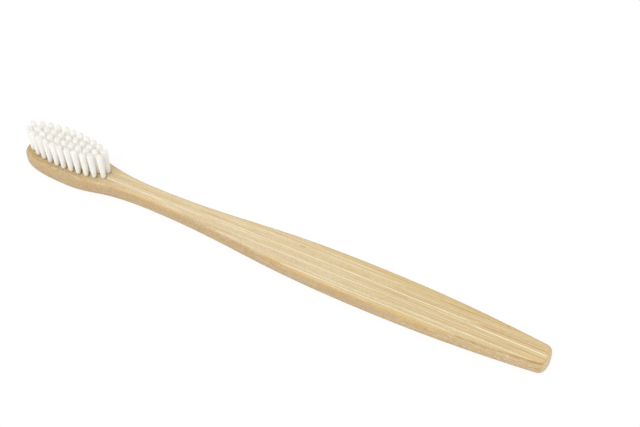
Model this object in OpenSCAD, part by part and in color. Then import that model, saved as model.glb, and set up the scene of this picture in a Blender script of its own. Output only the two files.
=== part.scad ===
// Manual toothbrush: a bamboo handle, 38 tufts of bristle and the anchors that hold them in it.
// The brush lies on its flat back with the bristles up. +X runs from the head to the end of the
// grip, +Y across the handle and +Z up. The origin is on the back, half way along the handle.

/* [Handle] */
// Length of the handle, from the tip of the head to the end of the grip
handle_length = 190; // [160:1:210]
// Thickness of the bamboo slat that the handle is milled from
handle_thickness = 5.3; // [4.6:0.1:7]
// Radius that is milled along the edges of the front and the back
edge_radius = 1.4; // [0.6:0.1:2]
// Width of the head where it is widest
head_width = 14.2; // [11.4:0.1:17]
// Distance from the tip to the widest place of the head
head_from_tip = 20; // [17:0.5:24]
// Width of the neck where it is narrowest
neck_width = 6.9; // [5.5:0.1:9]
// Distance from the tip to the narrowest place of the neck
neck_from_tip = 51; // [46:0.5:60]
// Width of the grip where it is widest
grip_width = 15.2; // [12:0.1:18]
// Distance from the tip to the widest place of the grip
grip_from_tip = 129; // [110:1:140]
// Width of the handle where its rounded end starts
end_width = 8.8; // [7:0.1:11]
// Length of the rounded end
end_length = 3; // [2.5:0.1:4.5]

/* [Bristle field] */
// Rows of tufts along the head
rows = 11; // [9:1:11]
// Distance from one row to the next
row_pitch = 2.88; // [2.4:0.02:3]
// Distance from the tip of the head to the first row
first_row_from_tip = 3.45; // [3.2:0.05:4.5]
// Distance from the side of the head, where it is widest, to the middle of the outer tufts
side_margin = 3.3; // [2.8:0.05:4.3]
// How far the oval that the outer tufts stand on runs past the first and last rows
oval_overrun = 1; // [0.7:0.05:1.4]

/* [Tufts] */
// Diameter of a tuft hole
hole_d = 1.8; // [1.4:0.05:2.1]
// Least wall of wood between two tuft holes of a row
hole_wall = 0.2; // [0.15:0.05:0.5]
// Depth of a tuft hole
hole_depth = 3.6; // [3.2:0.1:4]
// Height of the trimmed bristles above the face of the head
bristle_height = 10.4; // [8:0.1:13]
// Depth in the hole at which the packed roots part into bristles
mouth_depth = 0.5; // [0.3:0.05:0.8]
// Gap between the wall of the hole and the bundle of bristles in its mouth
mouth_gap = 0.075; // [0.05:0.005:0.1]
// Gap between the wall of the hole and the packed roots
root_fit = 0.02; // [0.01:0.005:0.04]
// Gap between neighbouring tufts at their tops, where they stand closest
top_gap = 0.1; // [0.06:0.02:0.3]
// How far a tuft may lean from upright at its top
top_lean = 0.03; // [0:0.01:0.05]
// How much shorter than the trim height the shortest bristles are
trim_unevenness = 0.18; // [0:0.02:0.4]

/* [Anchors] */
// Thickness of the metal plate
anchor_thickness = 0.25; // [0.2:0.01:0.35]
// Height of the plate
anchor_height = 1.3; // [1:0.05:1.6]
// How far each end of the plate bites into the wood beside the hole
anchor_bite = 0.1; // [0.05:0.01:0.15]
// Height of the folded bristles under the plate
fold_height = 0.45; // [0.35:0.05:0.6]

/* [Hidden] */
// Slope of the sides, in degrees, where the taper of the grip meets the rounded end
end_slope = 6.3;

// Each stretch of the outline is one Bezier curve. These are the lengths of its two handles,
// as shares of the stretch that they lie along.
nose_shares = [0.70, 0.70];
shoulder_shares = [0.34, 0.65];
flare_shares = [0.40, 0.50];
taper_shares = [0.33, 0.40];
end_shares = [0.64, 0.75];

// Steps of each stretch of the outline and of the milled edge
stretch_steps = 12;
edge_steps = 5;

// A bundle is a core of strands with a ring of strands round it, each four-sided
core_strands = 3;
ring_strands = 9;
// Width of a strand as a share of the bundle's diameter, at its root and at its top
strand_root_share = 0.192;
strand_top_share = 0.176;
// Distance of the core strands from the middle, as a share of the bundle's radius
core_share = 0.33;

// Turn from one tuft to the next, in degrees, so that no two tufts are alike
tuft_turn = 137.5;
// Depth that a strand reaches into the packed roots, and that a cut runs past a face
overrun = 0.2;
hole_facets = 48;

hole_floor = handle_thickness - hole_depth;
root_top = handle_thickness - mouth_depth;
root_d = hole_d - 2 * root_fit;
bundle_root_d = hole_d - 2 * mouth_gap;
anchor_length = hole_d + 2 * anchor_bite;
anchor_floor = hole_floor + fold_height;

// Half of the outer tufts' oval: its length along the head and its width across it
field_middle = first_row_from_tip + (rows - 1) / 2 * row_pitch;
oval_half_length = (rows - 1) / 2 * row_pitch + oval_overrun;
oval_half_width = head_width / 2 - side_margin;

// Half the width of the field at a row
function reach(row) =
    oval_half_width * sqrt(1 - pow((row - (rows - 1) / 2) * row_pitch / oval_half_length, 2));

// A row has as many tufts as leave the least wall between their holes
function across(row) = 1 + floor(2 * reach(row) / (hole_d + hole_wall));

// They stand evenly across the field, from one side of the oval to the other, and a single one in its middle
function row_spacing(row) = across(row) > 1 ? 2 * reach(row) / (across(row) - 1) : row_pitch;

closest = min([for (row = [0 : rows - 1]) min(row_pitch, row_spacing(row))]);
bundle_top_d = closest - top_gap - 2 * top_lean;

function along(row) = first_row_from_tip + row * row_pitch - handle_length / 2;
function tuft_place(tuft) = [along(tuft[0]), row_spacing(tuft[0]) * (tuft[1] - (across(tuft[0]) - 1) / 2)];
function tuft_name(tuft) = str("tuft_", tuft[0] + 1, "_", tuft[1] + 1);

// Each tuft as its row and its place in the row, from the near side
tufts = [for (row = [0 : rows - 1], place = [0 : across(row) - 1]) [row, place]];

function bezier(a, b, c, d, t) =
    pow(1 - t, 3) * a + 3 * pow(1 - t, 2) * t * b + 3 * (1 - t) * t * t * c + t * t * t * d;

// A stretch between two places where the sides run along the handle, with its last point left out
function stretch(start, finish, shares) =
    let (run = finish.x - start.x)
    [for (i = [0 : stretch_steps - 1])
        bezier(start, start + [shares[0] * run, 0], finish - [shares[1] * run, 0], finish, i / stretch_steps)];

tip = [0, 0];
head = [head_from_tip, head_width / 2];
neck = [neck_from_tip, neck_width / 2];
grip = [grip_from_tip, grip_width / 2];
corner = [handle_length - end_length, end_width / 2];
end = [handle_length, 0];
taper_run = corner.x - grip.x;
taper_way = [1, -tan(end_slope)];

nose = [for (i = [0 : stretch_steps - 1])
    bezier(tip, [0, nose_shares[0] * head.y], [(1 - nose_shares[1]) * head.x, head.y], head, i / stretch_steps)];
shoulder = stretch(head, neck, shoulder_shares);
flare = stretch(neck, grip, flare_shares);
taper = [for (i = [0 : stretch_steps - 1])
    bezier(grip, grip + [taper_shares[0] * taper_run, 0], corner - taper_shares[1] * taper_run * taper_way, corner,
        i / stretch_steps)];
rounded_end = [for (i = [0 : stretch_steps])
    bezier(corner, corner + end_shares[0] * end_length * taper_way, [end.x, end_shares[1] * corner.y], end,
        i / stretch_steps)];

// The far side from the tip to the end, and then back along the near side
side = concat(nose, shoulder, flare, taper, rounded_end);
last = len(side) - 1;
outline = concat(side, [for (i = [last - 1 : -1 : 1]) [side[i].x, -side[i].y]]);
count = len(outline);

function outward(i) =
    let (way = outline[(i + 1) % count] - outline[(i + count - 1) % count])
    [-way.y, way.x] / norm(way);

// The levels of the handle, each as its height and how far its loop lies inside the outline
edge_levels = [for (step = [0 : edge_steps])
    let (turn = 90 * step / edge_steps)
    [edge_radius * (1 - cos(turn)), edge_radius * (1 - sin(turn))]];
levels = concat(edge_levels,
    [for (step = [edge_steps : -1 : 0]) [handle_thickness - edge_levels[step][0], edge_levels[step][1]]]);

// The slat with its outline cut and its edges milled round
module slat() {
    top = (len(levels) - 1) * count;
    points = [for (level = levels, i = [0 : count - 1])
        let (at = outline[i] - level[1] * outward(i))
        [at.x - handle_length / 2, at.y, level[0]]];
    walls = [for (level = [0 : len(levels) - 2], i = [0 : count - 1])
        let (a = level * count + i, b = level * count + (i + 1) % count)
        each [[a, b, b + count], [a, b + count, a + count]]];
    front = concat([[0, 1, count - 1]],
        [for (i = [1 : last - 2]) each [[i, i + 1, count - i], [i + 1, count - i - 1, count - i]]],
        [[last - 1, last, last + 1]]);
    faces = concat(walls,
        [for (face = front) [for (p = face) top + p]],
        [for (face = front) [face[2], face[1], face[0]]]);
    polyhedron(points, faces, convexity = 4);
}

// A tuft hole, with the slit that the ends of the anchor cut on the way in
module tuft_hole() {
    translate([0, 0, hole_floor])
        cylinder(d = hole_d, h = hole_depth + overrun, $fn = hole_facets);
    translate([-anchor_length / 2, -anchor_thickness / 2, anchor_floor])
        cube([anchor_length, anchor_thickness, hole_depth - fold_height + overrun]);
}

module handle() {
    color("burlywood")
        difference() {
            slat();
            for (tuft = tufts)
                translate(tuft_place(tuft))
                    tuft_hole();
        }
}

module anchor_plate() {
    translate([-anchor_length / 2, -anchor_thickness / 2, anchor_floor])
        cube([anchor_length, anchor_thickness, anchor_height]);
}

module anchors() {
    color("goldenrod")
        for (tuft = tufts)
            translate(tuft_place(tuft))
                anchor_plate();
}

// The packed roots: the bristles are folded under the anchor and rise on both sides of it
module roots() {
    difference() {
        translate([0, 0, hole_floor])
            cylinder(d = root_d, h = root_top - hole_floor, $fn = hole_facets);
        anchor_plate();
    }
}

// The corners of a strand's square end, counted the way that the faces below need
function square_end(at, turn, width, z) =
    [for (corner = [45 : 90 : 315])
        [at.x + width / sqrt(2) * cos(turn + corner), at.y + width / sqrt(2) * sin(turn + corner), z]];

strand_faces = concat(
    [for (i = [0 : 3]) let (j = (i + 1) % 4) each [[i, i + 4, j + 4], [i, j + 4, j]]],
    [[0, 1, 2], [0, 2, 3], [4, 6, 5], [4, 7, 6]]);

// One strand of a bundle, from the packed roots to its trimmed top
module strand(turn, root_reach, top_reach, lean, trim) {
    way = [cos(turn), sin(turn)];
    root = square_end(root_reach * way, turn, strand_root_share * bundle_root_d, root_top - overrun);
    top = square_end(top_reach * way + lean, turn, strand_top_share * bundle_top_d,
        handle_thickness + bristle_height - trim);
    polyhedron(concat(root, top), strand_faces);
}

// The middle of an outer strand lies half a strand inside the bundle's edge
function ring_reach(bundle_d, share) = bundle_d / 2 * (sqrt(1 - share * share) - share);

module tuft(number, place) {
    turn = tuft_turn * number;
    lean = top_lean * [cos(turn), sin(turn)];
    color("whitesmoke")
        translate(place)
            union() {
                roots();
                for (i = [0 : core_strands - 1])
                    strand(turn + 360 * i / core_strands, core_share * bundle_root_d / 2,
                        core_share * bundle_top_d / 2, lean,
                        trim_unevenness * pow(sin(turn + tuft_turn * i), 2));
                for (i = [0 : ring_strands - 1])
                    strand(turn + 360 * i / ring_strands, ring_reach(bundle_root_d, strand_root_share),
                        ring_reach(bundle_top_d, strand_top_share), lean,
                        trim_unevenness * pow(cos(turn + tuft_turn * i), 2));
            }
}

handle();
for (number = [0 : len(tufts) - 1])
    tuft(number, tuft_place(tufts[number]));
anchors();
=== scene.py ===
# The looks of a bamboo toothbrush: a milled and drilled handle, bundles of nylon filaments with rounded ends,
# and the anchors that hold them. +X runs from the head to the end of the grip, +Y across the handle and +Z up
# from its flat back.
import math
import random
from types import SimpleNamespace

import bmesh
import bpy
from mathutils import Matrix, Vector
from mathutils.geometry import interpolate_bezier


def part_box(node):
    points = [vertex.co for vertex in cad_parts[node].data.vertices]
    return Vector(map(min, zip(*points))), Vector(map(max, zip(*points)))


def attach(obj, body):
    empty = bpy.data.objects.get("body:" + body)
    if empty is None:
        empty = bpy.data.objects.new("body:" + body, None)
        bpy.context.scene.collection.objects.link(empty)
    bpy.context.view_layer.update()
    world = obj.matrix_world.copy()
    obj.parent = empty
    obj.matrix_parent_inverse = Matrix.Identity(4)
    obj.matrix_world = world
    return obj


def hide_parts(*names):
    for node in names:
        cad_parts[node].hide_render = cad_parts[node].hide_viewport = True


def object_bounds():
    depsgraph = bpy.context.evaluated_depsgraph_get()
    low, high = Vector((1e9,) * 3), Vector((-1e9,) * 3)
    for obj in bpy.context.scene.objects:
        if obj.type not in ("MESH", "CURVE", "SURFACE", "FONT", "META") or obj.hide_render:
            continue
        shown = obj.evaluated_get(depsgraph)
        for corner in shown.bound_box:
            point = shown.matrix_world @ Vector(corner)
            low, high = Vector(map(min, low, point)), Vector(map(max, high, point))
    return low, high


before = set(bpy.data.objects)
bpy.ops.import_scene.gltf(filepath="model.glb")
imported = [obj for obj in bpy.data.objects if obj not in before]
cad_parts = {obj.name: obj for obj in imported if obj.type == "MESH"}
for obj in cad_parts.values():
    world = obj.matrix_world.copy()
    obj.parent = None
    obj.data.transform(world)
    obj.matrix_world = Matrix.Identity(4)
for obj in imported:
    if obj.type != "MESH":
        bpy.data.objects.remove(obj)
cad_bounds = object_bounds()

MM = 0.001

# The handle's outline, as in the solid model
HEAD_WIDTH = 14.2 * MM
HEAD_FROM_TIP = 20 * MM
NECK_WIDTH = 6.9 * MM
NECK_FROM_TIP = 51 * MM
GRIP_FROM_TIP = 129 * MM
END_WIDTH = 8.8 * MM
END_LENGTH = 3 * MM
END_SLOPE = math.radians(6.3)
# How far each curve of the outline keeps its first and its last direction, as shares of its run
NOSE_SHARES = (0.70, 0.70)
SHOULDER_SHARES = (0.34, 0.65)
FLARE_SHARES = (0.40, 0.50)
TAPER_SHARES = (0.33, 0.40)
END_SHARES = (0.64, 0.75)
STRETCH_POINTS = 40
EDGE_RADIUS = 1.4 * MM
EDGE_SEGMENTS = 8
SHARP_ANGLE = math.radians(35)
MERGE_DISTANCE = 1e-7

# The drilled holes, and the slit that each anchor cuts beside its hole
HOLE_RADIUS = 0.9 * MM
HOLE_SEGMENTS = 40
SLIT_LENGTH = 2.0 * MM
SLIT_WIDTH = 0.25 * MM
CUT_OVERRUN = 0.2 * MM

# The filaments and the core of a bundle
FILAMENT_RADIUS = 0.10 * MM
FILAMENT_SIDES = 10
ROUND_END_RINGS = 2
CORE_SIDES = 28
CORE_DOME_RINGS = 4
ROD_BANDS = 5
TIP_LENGTH = 0.28 * MM

# A bundle: a ring of filaments round the core, and on top of it the ends of the inner ones
RING_FILAMENTS = 28
INNER_FILAMENTS = 34
INNER_REACH_SHARE = 0.82
INNER_LENGTH = 4 * TIP_LENGTH
GOLDEN_ANGLE = math.pi * (3 - math.sqrt(5))
SUNKEN_DEPTH = 0.9 * MM
BUNDLE_ROOT_RADIUS = 0.77 * MM
BUNDLE_WAIST_RADIUS = 0.98 * MM
BUNDLE_TOP_RADIUS = 1.00 * MM
WAIST_SHARE = 0.66
TOP_SPREAD_POWER = 1.5
DOME_DROP = 0.60 * MM
DOME_POWER = 4
TRIM_SCATTER = 0.10 * MM
STRAY = 0.12 * MM

# How unevenly whole bundles are trimmed, and the shares of that for the lowest and the highest
TUFT_SCATTER = 0.16 * MM
SCATTER_SHARES = (-0.4, 0.6)
# Where a bundle stands in its hole, and the share of its height over which it comes back from that shift
ROOT_SHIFT = Vector((-0.08, -0.05)) * MM
ROOT_SHIFT_SHARE = 0.5
# How far the tops lean: all of them, those at the tip and the sides outward, and each by chance
FIELD_LEAN = Vector((-0.30, 0)) * MM
TUFT_SPLAY = 0.30 * MM
TUFT_LEAN = 0.10 * MM
CHANCE_SEED = 38

# Light levels, where 1 shows a colour as it is written
WORLD_LEVEL = 0.64
WORLD_TINT = (1.0, 0.995, 0.985, 1)
WHITE = (1, 1, 1, 1)
# Round lamps that face the middle of the brush: name, place, width, power
LAMPS = [
    ("key", (-0.20, -0.66, 0.78), 0.8, 4.6),
    ("fill", (0.45, 0.50, 0.80), 0.9, 1.9),
]
# Light is passed on many times between white filaments
LIGHT_BOUNCES = 32
FLOOR_SIZE = 4.0
# The share of the floor's white that takes light, and the level of that light in the open
FLOOR_SHADE = 0.12
FLOOR_LEVEL = 0.9
# How white the floor is to the light that it throws back on the brush
FLOOR_BOUNCE = 0.90

# The camera, aimed at a point on the floor
CAMERA_AIM = Vector((6.474, 22.300, 0)) * MM
CAMERA_AZIMUTH = math.radians(27.930)
CAMERA_ELEVATION = math.radians(48.119)
CAMERA_DISTANCE = 392.51 * MM
CAMERA_LENS = 66.657
CAMERA_NEAR = 10 * MM


def colour(red, green, blue):
    """A colour given as it looks on screen, from 0 to 255, in the linear values that shaders take."""
    def linear(level):
        share = level / 255
        return share / 12.92 if share <= 0.04045 else ((share + 0.055) / 1.055) ** 2.4
    return (linear(red), linear(green), linear(blue), 1)


def grey(level):
    return (level, level, level, 1)


def link(name, data):
    piece = bpy.data.objects.new(name, data)
    bpy.context.scene.collection.objects.link(piece)
    return piece


def mesh_from(bm, name):
    mesh = bpy.data.meshes.new(name)
    bm.to_mesh(mesh)
    bm.free()
    return mesh


# Shader nodes

def feed(tree, inputs, values):
    """Links each input that is given a socket, and sets any other to its value."""
    for name, value in values.items():
        if isinstance(value, bpy.types.NodeSocket):
            tree.links.new(value, inputs[name])
        else:
            inputs[name].default_value = value


def place(tree, kind, values=None, **settings):
    made = tree.nodes.new("ShaderNode" + kind)
    for name, value in settings.items():
        setattr(made, name, value)
    feed(tree, made.inputs, values or {})
    return made


def calc(tree, operation, *values, clamp=False):
    return place(tree, "Math", dict(enumerate(values)), operation=operation, use_clamp=clamp).outputs[0]


def product(tree, first, *others):
    for other in others:
        first = calc(tree, "MULTIPLY", first, other)
    return first


def ease(tree, value, low, high, to_low=0.0, to_high=1.0):
    """The value brought from low..high to to_low..to_high, with soft ends."""
    values = {"Value": value, "From Min": low, "From Max": high, "To Min": to_low, "To Max": to_high}
    return place(tree, "MapRange", values, interpolation_type="SMOOTHSTEP").outputs["Result"]


def between(tree, value, low, high, fade):
    """A mask that is 1 from low to high and fades inside both ends."""
    start = calc(tree, "DIVIDE", calc(tree, "SUBTRACT", value, low), fade, clamp=True)
    finish = calc(tree, "DIVIDE", calc(tree, "SUBTRACT", high, value), fade, clamp=True)
    return calc(tree, "MULTIPLY", start, finish)


def tint(tree, factor, under, over, blend="MIX"):
    """The colour over laid on the colour under, as far as the factor says."""
    return place(tree, "Mix", {0: factor, 6: under, 7: over}, data_type="RGBA", blend_type=blend).outputs[2]


def new_group(name, inputs, outputs):
    """An empty node group with its sockets, and the group's own input and output nodes."""
    tree = bpy.data.node_groups.new(name, "ShaderNodeTree")
    for side, sockets in (("INPUT", inputs), ("OUTPUT", outputs)):
        for socket, kind in sockets.items():
            tree.interface.new_socket(socket, in_out=side, socket_type="NodeSocket" + kind)
    return tree, tree.nodes.new("NodeGroupInput").outputs, tree.nodes.new("NodeGroupOutput").inputs


def use_group(tree, group, **values):
    made = tree.nodes.new("ShaderNodeGroup")
    made.node_tree = group
    feed(tree, made.inputs, values)
    return made.outputs


STREAK_ROUGHNESS = 0.55


def streaks_group():
    """Noise drawn out along one way, such as wood fibres, filaments or rolled metal."""
    tree, given, out = new_group(
        "streaks",
        {"Position": "Vector", "Density": "Vector", "Offset": "Vector", "Low": "Float", "High": "Float",
         "Detail": "Float"},
        {"Streaks": "Float"})
    scaled = place(tree, "VectorMath", {0: given["Position"], 1: given["Density"], 2: given["Offset"]},
                   operation="MULTIPLY_ADD").outputs[0]
    noise = place(tree, "TexNoise", {"Vector": scaled, "Scale": 1.0, "Detail": given["Detail"],
                                     "Roughness": STREAK_ROUGHNESS}).outputs["Fac"]
    tree.links.new(ease(tree, noise, given["Low"], given["High"]), out["Streaks"])
    return tree


# How a long fibre wanders from its straight line: waves a millimetre, and how far. Then how deep it lies
FIBRE_WAVES = 0.11
FIBRE_WANDER = 0.22
FIBRE_DEPTH = 1.2


def long_fibre_group():
    """One long fibre in the front face, from one place along the handle to another, as a soft mask."""
    tree, given, out = new_group(
        "long fibre",
        {"Position": "Vector", "From": "Float", "To": "Float", "Across": "Float", "Drift": "Float",
         "Width": "Float", "Fade": "Float", "Face": "Float"},
        {"Mask": "Float"})
    along, across, up = place(tree, "SeparateXYZ", {0: given["Position"]}).outputs
    run = calc(tree, "SUBTRACT", given["To"], given["From"])
    share = calc(tree, "DIVIDE", calc(tree, "SUBTRACT", along, given["From"]), run)
    waves = calc(tree, "MULTIPLY", along, FIBRE_WAVES)
    wave = place(tree, "TexNoise", {"W": waves, "Scale": 1.0, "Detail": 1.0},
                 noise_dimensions="1D").outputs["Fac"]
    middle = calc(tree, "MULTIPLY_ADD", share, given["Drift"], given["Across"])
    middle = calc(tree, "MULTIPLY_ADD", calc(tree, "SUBTRACT", wave, 0.5), FIBRE_WANDER, middle)
    off = calc(tree, "ABSOLUTE", calc(tree, "SUBTRACT", across, middle))
    line = ease(tree, off, 0.0, given["Width"], 1.0, 0.0)
    depth = ease(tree, up, calc(tree, "SUBTRACT", given["Face"], FIBRE_DEPTH), given["Face"])
    stretch = between(tree, along, given["From"], given["To"], given["Fade"])
    tree.links.new(product(tree, line, depth, stretch), out["Mask"])
    return tree


def new_surface(name, streaks):
    """A new material, the place on it in millimetres, its normal, and the streaks made on it so far."""
    material = bpy.data.materials.new(name)
    material.use_nodes = True
    tree = material.node_tree
    where = place(tree, "TexCoord").outputs
    position = place(tree, "VectorMath", {0: where["Object"], "Scale": 1 / MM}, operation="SCALE").outputs[0]
    return SimpleNamespace(material=material, tree=tree, shader=tree.nodes["Principled BSDF"],
                           position=position, normal=where["Normal"], streaks=streaks, made={})


# Streaks by name: how many lie in a millimetre along X, Y and Z, the offset of their noise, the levels of it
# at which they begin and are full, and its detail
STREAKS = {
    "broad bands": ((0.012, 0.42, 0.42), (3.1, 0.7, 9.2), 0.30, 0.70, 1.0),
    "fibre bundles": ((0.028, 1.5, 1.5), (7.7, 2.4, 1.3), 0.34, 0.66, 2.0),
    "golden threads": ((0.022, 2.9, 2.9), (4.2, 3.7, 9.1), 0.50, 0.68, 1.0),
    "pale threads": ((0.020, 2.3, 2.3), (8.8, 7.3, 5.4), 0.56, 0.70, 1.0),
    "short fibres": ((0.13, 2.6, 2.6), (1.9, 6.1, 4.8), 0.34, 0.66, 2.0),
    "mottle": ((1.20, 2.3, 2.3), (9.3, 2.7, 3.6), 0.36, 0.62, 2.0),
    "rosy flecks": ((0.50, 1.5, 1.5), (6.6, 5.1, 8.2), 0.42, 0.62, 2.0),
    "golden dashes": ((0.42, 2.6, 2.6), (5.3, 8.6, 2.2), 0.56, 0.68, 2.0),
    "fibre wear": ((0.35, 0.8, 0.8), (2.0, 5.0, 7.0), 0.20, 0.60, 2.0),
    "side flecks": ((1.30, 2.4, 2.4), (8.1, 3.3, 5.9), 0.40, 0.62, 2.0),
    "edge patches": ((0.075, 0.15, 0.15), (4.4, 1.8, 6.6), 0.46, 0.66, 2.0),
    "edge wear": ((0.40, 1.4, 1.4), (6.2, 0.4, 8.8), 0.32, 0.60, 2.0),
    "end specks": ((0.5, 2.4, 2.4), (1.1, 2.2, 3.3), 0.50, 0.62, 2.0),
    "pores": ((0.22, 5.0, 5.0), (0.6, 4.9, 3.7), 0.66, 0.76, 2.0),
    "drawn nylon": ((4.5, 4.5, 0.04), (3.0, 1.0, 2.0), 0.34, 0.66, 1.0),
    "nylon marks": ((9.0, 9.0, 1.2), (1.0, 7.0, 5.0), 0.50, 0.72, 1.0),
    "rolled marks": ((0.6, 12.0, 12.0), (2.0, 2.0, 2.0), 0.30, 0.70, 3.0),
}


def lines(surface, name):
    """The streaks of that name on a surface, made once."""
    if name not in surface.made:
        density, offset, low, high, detail = STREAKS[name]
        made = use_group(surface.tree, surface.streaks, Position=surface.position, Density=density,
                         Offset=offset, Low=low, High=high, Detail=detail)
        surface.made[name] = made["Streaks"]
    return surface.made[name]


# The bamboo

PALE_STRAW = colour(235, 220, 187)
STRAW = colour(226, 206, 166)
DEEP_STRAW = colour(216, 189, 142)
# Browner wood at the head, darkened further with painted shade of the tufts
TIP_STRAW_AND_SHADE = colour(184, 162, 121)
YELLOW_STRAW = colour(216, 194, 134)
ROSY_STRAW = colour(232, 200, 168)
PALE_LINE = colour(254, 245, 222)
GOLDEN_LINE = colour(216, 182, 120)
GOLDEN_DASH = colour(204, 164, 100)
BROWN_LINE = colour(190, 142, 88)
OLIVE = colour(190, 172, 124)
GOLD = colour(221, 180, 104)
BROWN_EDGE = colour(188, 142, 82)
# Painted shade, multiplied over the sides as if less light fell on them than on the front face
PAINTED_SIDE_SHADE = colour(236, 229, 223)
END_GRAIN = colour(238, 217, 190)
PORE = colour(164, 128, 88)

# What is laid over the broad bands in turn: streaks, strength, colour
WOOD_TINTS = [
    ("fibre bundles", 0.22, OLIVE),
    ("short fibres", 0.26, DEEP_STRAW),
    ("golden threads", 0.42, GOLDEN_LINE),
    ("pale threads", 0.50, PALE_LINE),
    ("mottle", 0.30, OLIVE),
    ("rosy flecks", 0.20, ROSY_STRAW),
    ("golden dashes", 0.38, GOLDEN_DASH),
]

# Where the tints change, in millimetres: from and to, then the strength at both where that isn't 0 and 1
DEEPER_TO_END = (-30.0, 75.0, 0.0, 0.55)
SHADE_TO_TIP = (-84.0, -40.0, 0.85, 0.0)
SHADE_ACROSS_TIP = (1.0, 4.5, 1.0, 0.4)
YELLOW_TO_END = (-5.0, 55.0, 0.12, 0.60)
YELLOW_ACROSS = (-3.0, 2.5)
YELLOW_ON_NEAR_HALF = (20.0, 42.0)
# Where the painted shade on the sides is full, and how it lessens towards the end and the tip
PAINTED_SIDE_SHADE_TO_END = (15.0, 70.0, 1.0, 0.3)
PAINTED_SIDE_SHADE_FROM_TIP = (-90.0, -62.0, 0.6, 1.0)
BROWN_NEAR_BACK = (0.4, 2.4, 0.22, 0.0)
NEAR_EDGE_ACROSS = (-0.8, -0.2, 1.0, 0.0)
NEAR_EDGE_UP = (2.2, 3.0)
CUT_ENDS_ALONG = (-95.0, 95.0, 0.30, 0.80)
# The same by how much the surface faces up or down, or, for the cut ends, along the handle
SIDE_SLOPE = (0.66, 0.99, 1.0, 0.0)
YELLOW_SLOPE = (0.70, 0.98, 0.3, 1.0)
MILLED_FROM_SIDE = (0.15, 0.45)
MILLED_TO_FACE = (0.97, 0.9995, 1.0, 0.0)
EDGE_LINE_FROM_SIDE = (0.48, 0.68)
EDGE_LINE_TO_FACE = (0.80, 0.95, 1.0, 0.0)
MARKED_SLOPE = (0.60, 0.85)
CUT_ENDS_FACING = (0.45, 0.85)

# Other strengths of the bamboo
TIP_SHADE_LESS_ON_SIDES = 0.5
SIDE_FLECKS = 0.32
TIP_FLECKS = 0.50
EDGE_PATCHES = 0.20
EDGE_WEAR = 0.70
FIBRE_WEAR = 0.30
CUTTER_PALENESS = 0.75
END_SPECKS = 0.45
PORE_STRENGTH = 0.35
CUTTER_RELIEF = 0.8
FIBRE_RELIEF = 0.5
RELIEF_STRENGTH = 0.35
RELIEF_HEIGHT = 0.03 * MM
BAMBOO_ROUGHNESS = (0.52, 0.66)
BAMBOO_SPECULAR = 0.35

# Long fibres in the front face, in millimetres: from, to, across at the start, drift over the run, half width
# and strength. They fade over FIBRE_FADE at both ends, or over a third of their run where that is less
FIBRE_FADE = 4.0
PALE_FIBRES = [
    (-64, -37, -1.05, 0.05, 0.42, 0.60),
    (-60, -30, -1.75, 0.10, 0.24, 0.25),
    (-39, -22, -0.80, 0.05, 0.36, 0.55),
    (-63, -50, 2.10, 0.05, 0.28, 0.40),
    (-64, 44, -0.35, -0.05, 1.10, 0.15),
    (-16, 26, 2.50, 0.00, 0.90, 0.12),
    (-40, 4, -2.45, 0.22, 0.22, 0.45),
    (-4, 81, -2.25, 0.45, 0.22, 0.75),
    (-20, -4, -0.45, 0.00, 0.18, 0.35),
    (-26, 34, 0.45, 0.42, 0.24, 0.65),
    (26, 70, 0.86, -0.24, 0.24, 0.75),
    (-4, 47, 3.70, 0.08, 0.22, 0.60),
    (6, 66, -6.05, 0.42, 0.24, 0.85),
    (68, 96, -0.28, -0.12, 0.28, 1.00),
    (-20, 12, 3.55, 0.10, 0.20, 0.20),
    (20, 50, 5.05, 0.10, 0.20, 0.12),
    (40, 92, -2.70, 0.35, 0.22, 0.15),
    (50, 76, -4.50, 0.30, 0.80, 0.26),
    (46, 70, -0.33, 0.00, 0.20, 0.30),
]
BROWN_FIBRES = [
    (50, 86, 3.95, 0.05, 0.22, 0.90),
    (58, 74, 3.95, 0.00, 0.42, 0.60),
    (-1, 5, 4.25, 0.00, 0.30, 0.60),
    (9, 12, 3.10, 0.00, 0.35, 0.90),
    (69, 96, 0.95, 0.02, 0.34, 0.95),
    (82, 96, -1.78, -0.03, 0.22, 0.85),
    (-4, 22, -0.68, 0.05, 0.24, 0.35),
    (26, 60, -0.55, 0.15, 0.24, 0.60),
    (3, 44, 4.28, 0.05, 0.20, 0.40),
    (30, 50, 5.65, 0.10, 0.24, 0.50),
    (-12, 24, 2.30, 0.10, 0.18, 0.35),
    (64, 84, 5.25, -0.70, 0.25, 0.50),
    (-54, -30, 0.45, 0.10, 0.30, 0.30),
    (-26, -16, 1.15, 0.15, 0.26, 0.45),
    (46, 70, 1.45, 0.00, 0.30, 0.30),
    (-58, -42, -2.45, 0.00, 0.60, 0.15),
    (-34, 16, -2.60, -0.90, 1.20, 0.30),
    (-30, 30, 0.90, 0.60, 0.80, 0.11),
    (24, 46, -4.40, 0.00, 0.80, 0.20),
    (40, 94, 1.70, 0.30, 0.90, 0.26),
    (12, 34, -3.50, 0.00, 0.80, 0.12),
    (36, 88, -2.50, 0.50, 1.30, 0.18),
    (40, 84, -3.60, 0.30, 0.80, 0.18),
    (-2, 16, 3.50, 0.00, 0.60, 0.20),
]

# Stretches of the milled front edge on the near side where it shows golden, partly the cut fibres' tone and
# partly painted highlight and shade on the rounding: from, to, strength
GOLDEN_STRETCHES = [
    (-94, -83, 0.45),
    (-84, -75, 0.15),
    (-74, -61, 0.42),
    (-58, -36, 0.55),
    (-38, -27, 0.35),
    (-22, -14, 0.25),
    (0, 9, 0.90),
    (10, 31, 0.50),
    (29, 47, 0.35),
    (45, 61, 0.90),
    (58, 69, 0.45),
]
# The same where it shows brown, partly painted shade on the rounding
BROWN_STRETCHES = [
    (-74, -58, 0.15),
    (-60, -36, 0.36),
    (0, 9, 0.40),
    (62, 78, 0.90),
    (75, 87, 0.50),
    (83, 96, 1.00),
]
STRETCH_FADE = 3.0
# Where the cutter left its marks, how far apart they are, and how much they slant
MARKED_STRETCH = (-58, -36)
CUTTER_PITCH = 1.0
CUTTER_SLANT = 0.5


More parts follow.
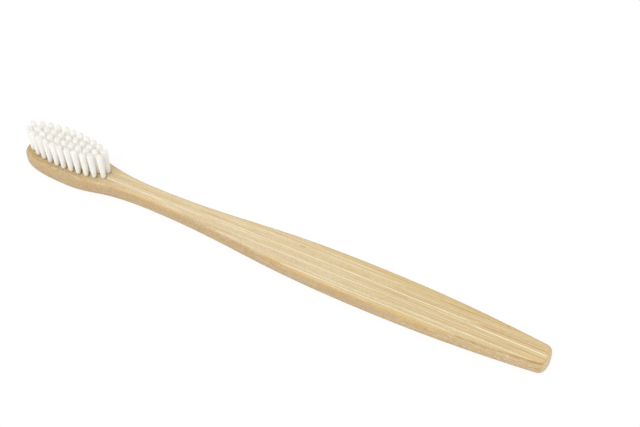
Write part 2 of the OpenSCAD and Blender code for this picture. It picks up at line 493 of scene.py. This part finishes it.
def bamboo_places(surface):
    """What the tints go by: the place on the handle, how the surface faces, and what was cut there."""
    tree = surface.tree
    along, across, up = place(tree, "SeparateXYZ", {0: surface.position}).outputs
    facing = place(tree, "SeparateXYZ", {0: surface.normal}).outputs
    upright = calc(tree, "ABSOLUTE", facing[2])
    side = ease(tree, upright, *SIDE_SLOPE)
    milled = product(tree, ease(tree, upright, *MILLED_FROM_SIDE), ease(tree, upright, *MILLED_TO_FACE))
    towards_tip = product(tree, ease(tree, along, *SHADE_TO_TIP), ease(tree, across, *SHADE_ACROSS_TIP),
                          calc(tree, "MULTIPLY_ADD", side, -TIP_SHADE_LESS_ON_SIDES, 1.0))
    near_edge = product(tree, milled, ease(tree, across, *NEAR_EDGE_ACROSS), ease(tree, up, *NEAR_EDGE_UP),
                        calc(tree, "MULTIPLY_ADD", lines(surface, "edge wear"), EDGE_WEAR, 1 - EDGE_WEAR))
    marked = product(tree, between(tree, along, *MARKED_STRETCH, STRETCH_FADE),
                     ease(tree, upright, *MARKED_SLOPE))
    return SimpleNamespace(along=along, across=across, up=up, upright=upright, side=side, milled=milled,
                           endwise=calc(tree, "ABSOLUTE", facing[0]), towards_tip=towards_tip,
                           near_edge=near_edge, marked=marked)


def plain_wood(surface, at):
    """Broad bands that deepen and yellow along the handle and darken towards the tip, partly with painted
    shade, then fibres, threads and flecks.
    """
    tree = surface.tree
    wood = tint(tree, lines(surface, "broad bands"), PALE_STRAW, STRAW)
    deeper = product(tree, ease(tree, at.along, *DEEPER_TO_END), lines(surface, "fibre bundles"))
    wood = tint(tree, deeper, wood, DEEP_STRAW)
    near_half = ease(tree, at.along, *YELLOW_ON_NEAR_HALF)
    yellow = product(tree, ease(tree, at.along, *YELLOW_TO_END),
                     ease(tree, at.across, *YELLOW_ACROSS, near_half, 1.0),
                     ease(tree, at.upright, *YELLOW_SLOPE))
    wood = tint(tree, yellow, wood, YELLOW_STRAW)
    # Browner and darker towards the tip: partly the wood's tone, partly painted shade of the tufts on the
    # head
    wood = tint(tree, at.towards_tip, wood, TIP_STRAW_AND_SHADE)
    for name, strength, over in WOOD_TINTS:
        wood = tint(tree, product(tree, lines(surface, name), strength), wood, over)
    return wood


def lay_fibres(surface, wood, long_fibre, face_height):
    """The long fibres of the front face, broken up a little along their run."""
    tree = surface.tree
    face = face_height / MM
    worn = calc(tree, "MULTIPLY_ADD", lines(surface, "fibre wear"), FIBRE_WEAR, 1 - FIBRE_WEAR)
    for fibres, over in ((PALE_FIBRES, PALE_LINE), (BROWN_FIBRES, BROWN_LINE)):
        for start, finish, across, drift, width, strength in fibres:
            fade = min(FIBRE_FADE, (finish - start) / 3)
            mask = use_group(tree, long_fibre, Position=surface.position, From=start, To=finish,
                             Across=across, Drift=drift, Width=width, Fade=fade, Face=face)["Mask"]
            wood = tint(tree, product(tree, mask, worn, strength), wood, over)
    return wood


def grain_sides(surface, wood, at):
    """Painted shade makes the sides and most of the rounded edges darker than the front face. The sides show
    the fibres as short flecks, and are browner near the back.
    """
    tree = surface.tree
    # Painted shade on the sides and on most of the rounded edges
    painted_side_shade = product(tree, at.side, ease(tree, at.along, *PAINTED_SIDE_SHADE_TO_END),
                     ease(tree, at.along, *PAINTED_SIDE_SHADE_FROM_TIP))
    wood = tint(tree, painted_side_shade, wood, PAINTED_SIDE_SHADE, "MULTIPLY")
    flecks = lines(surface, "side flecks")
    wood = tint(tree, product(tree, at.side, flecks, SIDE_FLECKS), wood, PORE)
    faces = calc(tree, "SUBTRACT", 1.0, at.side)
    wood = tint(tree, product(tree, faces, flecks, at.towards_tip, TIP_FLECKS), wood, PORE)
    return tint(tree, product(tree, at.side, ease(tree, at.up, *BROWN_NEAR_BACK)), wood, BROWN_LINE)


def warm_edges(surface, wood, at):
    """Milled edges cut across the fibres and show warmer in patches, and in stretches on the near side,
    partly as painted shade and highlight on the rounding.
    """
    tree = surface.tree
    # Warmer, darker patches over the rounding: the milled fibres' tone with painted shade
    wood = tint(tree, product(tree, at.milled, lines(surface, "edge patches"), EDGE_PATCHES), wood, GOLD)
    thin = product(tree, ease(tree, at.upright, *EDGE_LINE_FROM_SIDE),
                   ease(tree, at.upright, *EDGE_LINE_TO_FACE))
    line = product(tree, at.near_edge, calc(tree, "MAXIMUM", thin, at.marked))
    # Golden and brown stretches on the near edge: the milled fibres' tone with painted highlight and shade
    for stretches, over in ((GOLDEN_STRETCHES, GOLD), (BROWN_STRETCHES, BROWN_EDGE)):
        for start, finish, strength in stretches:
            stretch = between(tree, at.along, start, finish, STRETCH_FADE)
            wood = tint(tree, product(tree, line, stretch, strength), wood, over)
    return wood


def cutter_marks(surface, at):
    """Slanted marks of the cutter across the edge beside the neck, as a mask."""
    tree = surface.tree
    slanted = calc(tree, "MULTIPLY_ADD", calc(tree, "ADD", at.across, at.up), -CUTTER_SLANT, at.along)
    waves = calc(tree, "SINE", calc(tree, "MULTIPLY", slanted, math.tau / CUTTER_PITCH))
    return product(tree, at.near_edge, at.marked, calc(tree, "MULTIPLY_ADD", waves, 0.5, 0.5))


def open_ends(surface, wood, at):
    """The cut ends of the fibres are paler and show specks, and pores lie open all over."""
    tree = surface.tree
    cut_ends = product(tree, ease(tree, at.endwise, *CUT_ENDS_FACING), ease(tree, at.along, *CUT_ENDS_ALONG))
    wood = tint(tree, cut_ends, wood, END_GRAIN)
    wood = tint(tree, product(tree, cut_ends, lines(surface, "end specks"), END_SPECKS), wood, PORE)
    return tint(tree, product(tree, lines(surface, "pores"), PORE_STRENGTH), wood, PORE)


def bamboo_material(streaks, long_fibre, face_height):
    surface = new_surface("bamboo", streaks)
    tree = surface.tree
    at = bamboo_places(surface)
    marks = cutter_marks(surface, at)
    wood = plain_wood(surface, at)
    wood = lay_fibres(surface, wood, long_fibre, face_height)
    wood = grain_sides(surface, wood, at)
    wood = warm_edges(surface, wood, at)
    wood = tint(tree, product(tree, marks, CUTTER_PALENESS), wood, PALE_STRAW)
    wood = open_ends(surface, wood, at)
    fibres = lines(surface, "short fibres")
    raised = calc(tree, "MULTIPLY_ADD", marks, CUTTER_RELIEF, product(tree, fibres, FIBRE_RELIEF))
    height = calc(tree, "SUBTRACT", raised, lines(surface, "pores"))
    bump = place(tree, "Bump", {"Height": height, "Strength": RELIEF_STRENGTH, "Distance": RELIEF_HEIGHT})
    feed(tree, surface.shader.inputs, {
        "Base Color": wood,
        "Roughness": ease(tree, fibres, 0.0, 1.0, *BAMBOO_ROUGHNESS),
        "Normal": bump.outputs["Normal"],
        "Specular IOR Level": BAMBOO_SPECULAR,
    })
    return surface.material


# The nylon and the anchors' metal

# Painted shade and reflected wood colour at the roots of the filaments
ROOT_SHADE_AND_REFLECTION = colour(252, 250, 244)
FILAMENT_TINT = colour(254.3, 253.6, 251.5)
FILAMENT_SHADE = colour(252, 251, 247)
# Painted shade that greys the tops of the tufts, which the lamps light most
PAINTED_END_SHADE = colour(248, 247, 243)
# The painted shade and reflected wood colour at the roots go from this far under the face, in millimetres, to
# this share of the height above it
ROOT_SHADE_DEPTH = 0.5
ROOT_SHADE_SHARE = 0.45
# The painted shade that greys the brightly lit ends begins and is full this far below the tips, in
# millimetres
PAINTED_END_SHADE_DEPTHS = (1.2, 0.3)
DRAWN_STRENGTH = 0.40
NYLON_ROUGHNESS = (0.50, 0.68)


def bristle_material(streaks, face_height, tip_height):
    """Off-white nylon, made warmer towards the roots by painted shade and reflected wood colour, and greyer
    at the rounded ends by painted shade.
    """
    surface = new_surface("bristle", streaks)
    tree = surface.tree
    height = place(tree, "SeparateXYZ", {0: surface.position}).outputs[2]
    face, tips = face_height / MM, tip_height / MM
    # Painted shade and reflected wood colour towards the roots
    rise = ease(tree, height, face - ROOT_SHADE_DEPTH, face + ROOT_SHADE_SHARE * (tips - face))
    nylon = tint(tree, rise, ROOT_SHADE_AND_REFLECTION, FILAMENT_TINT)
    nylon = tint(tree, product(tree, lines(surface, "drawn nylon"), DRAWN_STRENGTH), nylon, FILAMENT_SHADE)
    # Painted shade on the tops of the tufts
    nylon = tint(tree, ease(tree, height, *(tips - depth for depth in PAINTED_END_SHADE_DEPTHS)), nylon, PAINTED_END_SHADE)
    feed(tree, surface.shader.inputs, {
        "Base Color": nylon,
        "Roughness": ease(tree, lines(surface, "nylon marks"), 0.0, 1.0, *NYLON_ROUGHNESS),
    })
    return surface.material


BRASS = colour(206, 178, 112)
BRASS_DARK = colour(156, 126, 72)
ROLLED_STRENGTH = 0.5
BRASS_ROUGHNESS = (0.26, 0.44)


def anchor_material(streaks):
    """Rolled brass strip, with the marks of the rolls along it."""
    surface = new_surface("anchor metal", streaks)
    tree = surface.tree
    rolled = lines(surface, "rolled marks")
    feed(tree, surface.shader.inputs, {
        "Base Color": tint(tree, product(tree, rolled, ROLLED_STRENGTH), BRASS, BRASS_DARK),
        "Roughness": ease(tree, rolled, 0.0, 1.0, *BRASS_ROUGHNESS),
        "Metallic": 1.0,
    })
    return surface.material


# The handle

def level_curve(start, finish, shares):
    """A curve between two places where the outline runs level with the handle."""
    run = Vector((finish.x - start.x, 0, 0))
    return start, start + shares[0] * run, finish - shares[1] * run, finish


def handle_side(length, grip_width):
    """One side of the handle from the tip to the end of the grip, as points on the plane of the back."""
    tip = Vector((0, 0, 0))
    head = Vector((HEAD_FROM_TIP, HEAD_WIDTH / 2, 0))
    neck = Vector((NECK_FROM_TIP, NECK_WIDTH / 2, 0))
    grip = Vector((GRIP_FROM_TIP, grip_width / 2, 0))
    corner = Vector((length - END_LENGTH, END_WIDTH / 2, 0))
    end = Vector((length, 0, 0))
    slope = Vector((1, -math.tan(END_SLOPE), 0))
    taper = corner.x - grip.x
    curves = [
        (tip, Vector((0, NOSE_SHARES[0] * head.y, 0)),
         Vector(((1 - NOSE_SHARES[1]) * head.x, head.y, 0)), head),
        level_curve(head, neck, SHOULDER_SHARES),
        level_curve(neck, grip, FLARE_SHARES),
        (grip, grip + Vector((TAPER_SHARES[0] * taper, 0, 0)),
         corner - TAPER_SHARES[1] * taper * slope, corner),
        (corner, corner + END_SHARES[0] * END_LENGTH * slope,
         Vector((length, END_SHARES[1] * corner.y, 0)), end),
    ]
    points = [point for curve in curves for point in interpolate_bezier(*curve, STRETCH_POINTS)[:-1]]
    return points + [end]


def handle_blank(low, high):
    """The slat with its outline cut and its edges milled round."""
    side = handle_side(high.x - low.x, high.y - low.y)
    start = Vector((low.x, 0, low.z))
    loop = side + [Vector((point.x, -point.y, 0)) for point in side[-2:0:-1]]
    bm = bmesh.new()
    back = bm.faces.new([bm.verts.new(start + point) for point in loop])
    made = bmesh.ops.extrude_face_region(bm, geom=[back], use_keep_orig=True)["geom"]
    front_verts = [item for item in made if isinstance(item, bmesh.types.BMVert)]
    front = next(item for item in made if isinstance(item, bmesh.types.BMFace))
    bmesh.ops.translate(bm, verts=front_verts, vec=(0, 0, high.z - low.z))
    edges = list(back.edges) + list(front.edges)
    bmesh.ops.bevel(bm, geom=edges, offset=EDGE_RADIUS, offset_type="OFFSET", segments=EDGE_SEGMENTS,
                    profile=0.5, affect="EDGES", material=-1)
    bmesh.ops.recalc_face_normals(bm, faces=bm.faces)
    return link("bamboo_handle", mesh_from(bm, "bamboo_handle"))


def drill(bm, depth, middle):
    bmesh.ops.create_cone(bm, cap_ends=True, segments=HOLE_SEGMENTS, radius1=HOLE_RADIUS, radius2=HOLE_RADIUS,
                          depth=depth, matrix=middle)


def slit(bm, depth, middle):
    """The way that an anchor takes into the wood beside its hole."""
    bmesh.ops.create_cube(bm, size=1, matrix=middle @ Matrix.Diagonal((SLIT_LENGTH, SLIT_WIDTH, depth, 1)))


def cutters(cutter, places, bottom, top):
    """A cutter in each place, from the bottom of its cut to just above the face of the head."""
    bm = bmesh.new()
    depth = top + CUT_OVERRUN - bottom
    for at in places:
        cutter(bm, depth, Matrix.Translation((at.x, at.y, bottom + depth / 2)))
    return link("cutters", mesh_from(bm, "cutters"))


def carve(piece, cutter):
    """Cuts one piece with another, which is then gone."""
    cut = piece.modifiers.new("cut", "BOOLEAN")
    cut.object = cutter
    cut.solver = "EXACT"
    bpy.context.view_layer.update()
    carved = bpy.data.meshes.new_from_object(piece.evaluated_get(bpy.context.evaluated_depsgraph_get()))
    piece.modifiers.remove(cut)
    piece.data = carved
    bpy.data.objects.remove(cutter)


def shade(piece, angle):
    """Smooth shading, but for edges that turn more than the angle."""
    bm = bmesh.new()
    bm.from_mesh(piece.data)
    bmesh.ops.remove_doubles(bm, verts=bm.verts, dist=MERGE_DISTANCE)
    for face in bm.faces:
        face.smooth = True
    for edge in bm.edges:
        edge.smooth = edge.calc_face_angle(0) < angle
    bm.to_mesh(piece.data)
    bm.free()


def bamboo_handle(material, places, hole_floor, anchor_floor):
    low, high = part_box("handle")
    piece = handle_blank(low, high)
    carve(piece, cutters(drill, places, hole_floor, high.z))
    carve(piece, cutters(slit, places, anchor_floor, high.z))
    shade(piece, SHARP_ANGLE)
    flat = piece.modifiers.new("flat faces", "WEIGHTED_NORMAL")
    flat.keep_sharp = True
    piece.data.materials.append(material)
    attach(piece, "root")
    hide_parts("handle")


# The tufts

def draw_up(bm, edges, lift, shrink=1.0):
    """Draws a ring of edges out upwards, and returns the new ring."""
    made = bmesh.ops.extrude_edge_only(bm, edges=edges)["geom"]
    verts = [item for item in made if isinstance(item, bmesh.types.BMVert)]
    bmesh.ops.translate(bm, verts=verts, vec=(0, 0, lift))
    bmesh.ops.scale(bm, verts=verts, vec=(shrink, shrink, 1))
    drawn = [item for item in made if isinstance(item, bmesh.types.BMEdge)]
    return [edge for edge in drawn if all(vert in verts for vert in edge.verts)]


def ring_angle(ring, rings):
    """How far round the end of a rod a ring lies, from 0 at its side to a quarter turn at its very top."""
    return math.pi / 2 * ring / (rings + 1)


def rod_blank(name, sides, radius, end_rings):
    """A rod with a rounded end, a unit high. Above that, each ring of its end lies one more unit up."""
    bm = bmesh.new()
    bmesh.ops.create_circle(bm, cap_ends=True, segments=sides, radius=radius)
    edges = list(bm.edges)
    for _ in range(ROD_BANDS):
        edges = draw_up(bm, edges, 1 / ROD_BANDS)
    width = 1.0
    for ring in range(1, end_rings + 1):
        narrower = math.cos(ring_angle(ring, end_rings))
        edges = draw_up(bm, edges, 1, narrower / width)
        width = narrower
    bmesh.ops.contextual_create(bm, geom=edges)
    bmesh.ops.recalc_face_normals(bm, faces=bm.faces)
    return mesh_from(bm, name)


def bundle_radius(share, room):
    """The bundle's radius at a share of its height above the face, and no more than it has room for."""
    waist = min(BUNDLE_WAIST_RADIUS, room)
    top = min(BUNDLE_TOP_RADIUS, room)
    if share < WAIST_SHARE:
        swell = math.sin(math.pi / 2 * max(0.0, share) / WAIST_SHARE)
        return BUNDLE_ROOT_RADIUS + (waist - BUNDLE_ROOT_RADIUS) * swell
    return waist + (top - waist) * ((share - WAIST_SHARE) / (1 - WAIST_SHARE)) ** TOP_SPREAD_POWER


def heading(angle):
    return Vector((math.cos(angle), math.sin(angle)))


def bristle_tuft(name, core, filament, material, face_height, outward, room, chance):
    """A bundle that leans towards the tip and a little outward, and spreads as far as it has room."""
    low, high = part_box(name)
    middle = (low + high).xy / 2
    root = face_height - SUNKEN_DEPTH
    tuft_top = high.z + chance.uniform(*SCATTER_SHARES) * TUFT_SCATTER
    angle = chance.uniform(0, math.tau)
    splay = TUFT_SPLAY * outward.length ** 2 * outward
    lean = FIELD_LEAN + splay + TUFT_LEAN * chance.random() * heading(angle)

    def trimmed(reach):
        """Height of the domed top at a place between the bundle's middle and its edge."""
        return tuft_top - DOME_DROP * reach.length ** DOME_POWER

    def spot(z, reach, bend):
        """Where the bundle has that place at a height."""
        share = (z - face_height) / (high.z - face_height)
        up = max(0.0, share)
        shift = ROOT_SHIFT * (1 - min(1.0, up / ROOT_SHIFT_SHARE))
        spread = bundle_radius(share, room) - FILAMENT_RADIUS
        return middle + shift + spread * reach + bend * up ** 2

    bm = bmesh.new()
    bm.from_mesh(core)
    for vert in bm.verts:
        reach = vert.co.xy
        z = root + (trimmed(reach) - TIP_LENGTH - root) * min(vert.co.z, 1.0)
        vert.co = (*spot(z, reach, lean), z)

    ring = [heading(angle + number * math.tau / RING_FILAMENTS) for number in range(RING_FILAMENTS)]
    inner = [INNER_REACH_SHARE * math.sqrt((number + 0.5) / INNER_FILAMENTS) * heading(number * GOLDEN_ANGLE)
             for number in range(INNER_FILAMENTS)]
    for reach in ring + inner:
        tip = trimmed(reach) - chance.uniform(0, TRIM_SCATTER) - FILAMENT_RADIUS
        foot = root if reach in ring else tip - INNER_LENGTH
        stray = STRAY * heading(chance.uniform(0, math.tau))
        first = len(bm.verts)
        bm.from_mesh(filament)
        bm.verts.ensure_lookup_table()
        for vert in bm.verts[first:]:
            end = FILAMENT_RADIUS * math.sin(ring_angle(max(0.0, vert.co.z - 1), ROUND_END_RINGS))
            z = foot + (tip - foot) * min(vert.co.z, 1.0) + end
            vert.co = (*(vert.co.xy + spot(z, reach, lean + stray)), z)
    for face in bm.faces:
        face.smooth = True
    piece = link("bristle_" + name, mesh_from(bm, "bristle_" + name))
    piece.data.materials.append(material)
    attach(piece, "root")
    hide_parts(name)


def bristle_field(material, places, face_height):
    """All the tufts. Those at the tip and the sides lean outward, and each has room up to its neighbours."""
    core = rod_blank("core", CORE_SIDES, 1.0, CORE_DOME_RINGS)
    filament = rod_blank("filament", FILAMENT_SIDES, FILAMENT_RADIUS, ROUND_END_RINGS)
    chance = random.Random(CHANCE_SEED)
    first = min(at.x for at in places.values())
    middle = (first + max(at.x for at in places.values())) / 2
    reach = Vector((middle - first, max(at.y for at in places.values())))
    for name, at in places.items():
        outward = Vector((min(0.0, at.x - middle) / reach.x, at.y / reach.y))
        room = min((at - other).length for other in places.values() if other != at) / 2
        bristle_tuft(name, core, filament, material, face_height, outward, room, chance)


# The studio

def seen_by_camera(tree):
    """1 for what the camera sees, straight or in a gloss, and 0 for the light that falls on the brush."""
    rays = place(tree, "LightPath").outputs
    seen = calc(tree, "MAXIMUM", rays["Is Camera Ray"], rays["Is Glossy Ray"])
    return calc(tree, "MAXIMUM", seen, rays["Is Transmission Ray"])


def show(tree, kind, lighting, seen):
    """Ends a shader with one side that lights the brush and one that the camera sees."""
    mixed = place(tree, "MixShader", {0: seen_by_camera(tree), 1: lighting, 2: seen}).outputs[0]
    place(tree, "Output" + kind, {"Surface": mixed})


def studio():
    scene = bpy.context.scene
    scene.view_settings.view_transform = "Standard"
    scene.cycles.max_bounces = LIGHT_BOUNCES
    scene.cycles.diffuse_bounces = LIGHT_BOUNCES
    world = bpy.data.worlds.new("studio")
    world.use_nodes = True
    tree = world.node_tree
    tree.nodes.clear()
    light = place(tree, "Background", {"Color": WORLD_TINT, "Strength": WORLD_LEVEL}).outputs[0]
    white = place(tree, "Background", {"Color": WHITE, "Strength": 1.0}).outputs[0]
    show(tree, "World", light, white)
    scene.world = world


def floor():
    """A white floor. A part of its white takes light and keeps the shadow, and the rest glows."""
    bm = bmesh.new()
    bmesh.ops.create_grid(bm, x_segments=1, y_segments=1, size=FLOOR_SIZE / 2)
    piece = link("floor", mesh_from(bm, "floor"))
    material = bpy.data.materials.new("floor")
    material.use_nodes = True
    tree = material.node_tree
    tree.nodes.clear()
    takes_light = place(tree, "BsdfDiffuse", {"Color": grey(FLOOR_SHADE)}).outputs[0]
    glow = place(tree, "Emission", {"Color": WHITE, "Strength": 1 - FLOOR_SHADE * FLOOR_LEVEL}).outputs[0]
    as_seen = place(tree, "AddShader", {0: takes_light, 1: glow}).outputs[0]
    plain = place(tree, "BsdfDiffuse", {"Color": grey(FLOOR_BOUNCE)}).outputs[0]
    show(tree, "Material", plain, as_seen)
    piece.data.materials.append(material)


def aim(piece, at, towards):
    """Puts a lamp or the camera in its place, looking in a direction."""
    piece.location = at
    piece.rotation_mode = "QUATERNION"
    piece.rotation_quaternion = towards.to_track_quat("-Z", "Y")


def soft_light(name, at, width, power):
    lamp = bpy.data.lights.new(name, "AREA")
    lamp.shape = "DISK"
    lamp.size = width
    lamp.energy = power
    aim(link(name, lamp), at, -Vector(at))


def camera():
    eye = bpy.data.cameras.new("camera")
    eye.lens = CAMERA_LENS
    eye.clip_start = CAMERA_NEAR
    piece = link("camera", eye)
    back = Vector((math.sin(CAMERA_AZIMUTH) * math.cos(CAMERA_ELEVATION),
                   -math.cos(CAMERA_AZIMUTH) * math.cos(CAMERA_ELEVATION), math.sin(CAMERA_ELEVATION)))
    aim(piece, CAMERA_AIM + CAMERA_DISTANCE * back, -back)
    bpy.context.scene.camera = piece


camera()
studio()
floor()
for lamp in LAMPS:
    soft_light(*lamp)

streaks = streaks_group()
tuft_names = sorted(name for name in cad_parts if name.startswith("tuft_"))
places = {name: sum(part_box(name), Vector()).xy / 2 for name in tuft_names}
face_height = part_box("handle")[1].z
tip_height = cad_bounds[1].z
hole_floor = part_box(tuft_names[0])[0].z
anchor_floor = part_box("anchors")[0].z

bamboo = bamboo_material(streaks, long_fibre_group(), face_height)
bamboo_handle(bamboo, places.values(), hole_floor, anchor_floor)
bristle = bristle_material(streaks, face_height, tip_height)
bristle_field(bristle, places, face_height)
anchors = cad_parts["anchors"]
anchors.data.materials.clear()
anchors.data.materials.append(anchor_material(streaks))
